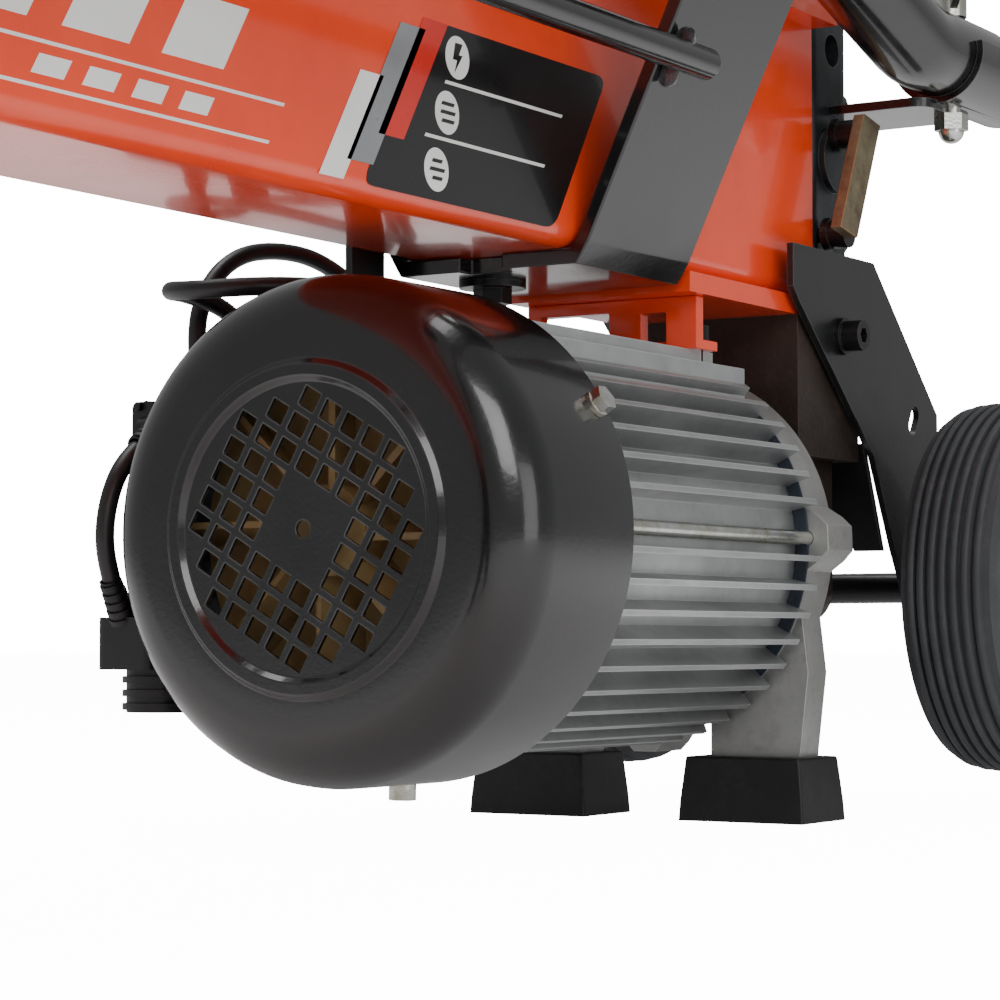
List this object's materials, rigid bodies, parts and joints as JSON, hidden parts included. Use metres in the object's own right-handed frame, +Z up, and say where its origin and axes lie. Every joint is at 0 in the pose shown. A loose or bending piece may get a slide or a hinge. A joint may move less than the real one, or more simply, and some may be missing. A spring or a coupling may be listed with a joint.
{
  "type": "log splitter",
  "caption": "Horizontal electric hydraulic log splitter: beam with ram and wedge, finned motor under the tank end, transport wheels, lifting bow and front leg.",
  "frame": {"origin": "bottom centre of the whole machine, on the ground under the middle of its length", "axes": "+X from the wedge towards the wheels, +Y towards the switch side, +Z up"},
  "size_m": [1.15, 0.266, 0.47],
  "materials": {
    "orange_paint": "gloss powder coat",
    "black_paint": "satin powder coat",
    "black_gloss": "gloss stoved enamel",
    "zinc": "bright zinc plate",
    "black_oxide": "black oxide",
    "raw_steel": "raw laser-cut plate",
    "chrome": "hard chrome",
    "block_iron": "machined and oiled",
    "pump_iron": "painted casting",
    "fin_aluminium": "extruded",
    "cast_aluminium": "die cast",
    "lamination": "stacked laminations",
    "copper": "enamelled winding",
    "gear_steel": "ground",
    "boot_rubber": "moulded",
    "seal_rubber": "moulded",
    "tyre_rubber": "solid, ribbed",
    "wheel_plastic": "moulded",
    "black_plastic": "moulded",
    "fan_plastic": "moulded",
    "knob_plastic": "polished",
    "red_plastic": "moulded",
    "green_plastic": "moulded",
    "lead_rubber": "extruded sheath"
  },
  "bodies": {
    "frame": {"axle": "black_paint", "axle_caps": "zinc", "beam_channel": "orange_paint", "bleed_screw": "zinc", "bow_saddles": "black_gloss", "cylinder_head": "block_iron", "cylinder_tube": "block_iron", "dipstick": "black_plastic", "fan_cover": "black_gloss", "frame_screws": "black_oxide", "front_cradle": "black_gloss", "front_leg": "black_paint", "front_shield": "cast_aluminium", "inlet_lead": "lead_rubber", "inlet_plug": "black_plastic", "lever_bracket": "zinc", "lifting_bow": "black_gloss", "log_rails": "black_gloss", "loop_lead": "lead_rubber", "motor_bearings": "gear_steel", "motor_hanger": "orange_paint", "motor_housing": "fin_aluminium", "motor_lead": "lead_rubber", "motor_screws": "zinc", "pump_body": "pump_iron", "rear_cradle": "black_gloss", "rear_shield": "cast_aluminium", "rod_seal": "seal_rubber", "rubber_boots": "boot_rubber", "saddle_fasteners": "zinc", "side_strap": "raw_steel", "stator_core": "lamination", "stator_winding": "copper", "switch_box": "black_plastic", "switch_bracket": "black_paint", "tank_cover": "orange_paint", "terminal_box": "black_plastic", "valve_block": "block_iron", "valve_screws": "black_oxide", "wedge": "black_paint", "wedge_plate": "orange_paint", "wheel_bracket": "black_paint"},
    "ram": {"pusher": "black_paint", "piston": "gear_steel", "piston_rod": "chrome"},
    "left_road_wheel": {"left_wheel": "wheel_plastic", "left_tyre": "tyre_rubber"},
    "right_road_wheel": {"right_wheel": "wheel_plastic", "right_tyre": "tyre_rubber"},
    "rotor": {"rotor_core": "lamination", "motor_shaft": "gear_steel", "cooling_fan": "fan_plastic", "drive_gear": "gear_steel"},
    "idler": {"driven_gear": "gear_steel"},
    "lever": {"control_lever": "zinc", "lever_knob": "knob_plastic"},
    "spool": {"valve_spool": "gear_steel"},
    "start_key": {"start_button": "green_plastic"},
    "stop_key": {"stop_button": "red_plastic"},
    "splash_lid": {"switch_lid": "black_plastic"}
  },
  "joints": [
    {"name": "ram_slide", "type": "slide", "parent": "frame", "child": "ram", "axis": [-1, 0, 0], "range_m": [0, 0.3]},
    {"name": "left_wheel_spin", "type": "hinge", "parent": "frame", "child": "left_road_wheel", "pos_m": [0.495, -0.098, 0.096], "axis": [0, 1, 0], "continuous": true},
    {"name": "right_wheel_spin", "type": "hinge", "parent": "frame", "child": "right_road_wheel", "pos_m": [0.495, 0.098, 0.096], "axis": [0, 1, 0], "continuous": true},
    {"name": "rotor_spin", "type": "hinge", "parent": "frame", "child": "rotor", "pos_m": [0.27, 0.009, 0.111], "axis": [1, 0, 0], "continuous": true},
    {"name": "idler_spin", "type": "hinge", "parent": "frame", "child": "idler", "pos_m": [0.413, 0.009, 0.135], "axis": [1, 0, 0], "continuous": true},
    {"name": "lever_swing", "type": "hinge", "parent": "frame", "child": "lever", "pos_m": [0.441, 0.056, 0.358], "axis": [-1, 0, 0], "range_deg": [0, 12], "stiffness_Nm_per_rad": 1.2, "springref_deg": -5.73},
    {"name": "spool_slide", "type": "slide", "parent": "frame", "child": "spool", "axis": [0, -1, 0], "range_m": [0, 0.0075]},
    {"name": "start_press", "type": "slide", "parent": "frame", "child": "start_key", "axis": [0, -1, 0], "range_m": [0, 0.0025], "stiffness_N_per_m": 500, "springref_m": -0.001},
    {"name": "stop_press", "type": "slide", "parent": "frame", "child": "stop_key", "axis": [0, -1, 0], "range_m": [0, 0.0025], "stiffness_N_per_m": 500, "springref_m": -0.001},
    {"name": "lid_flap", "type": "hinge", "parent": "frame", "child": "splash_lid", "pos_m": [0.204, 0.1274, 0.162], "axis": [1, 0, 0], "range_deg": [0, 100]}
  ],
  "couplings": [
    {"joint": "idler_spin", "follows": "rotor_spin", "ratio": -1},
    {"joint": "spool_slide", "follows": "lever_swing", "m_per_rad": 0.035}
  ]
}
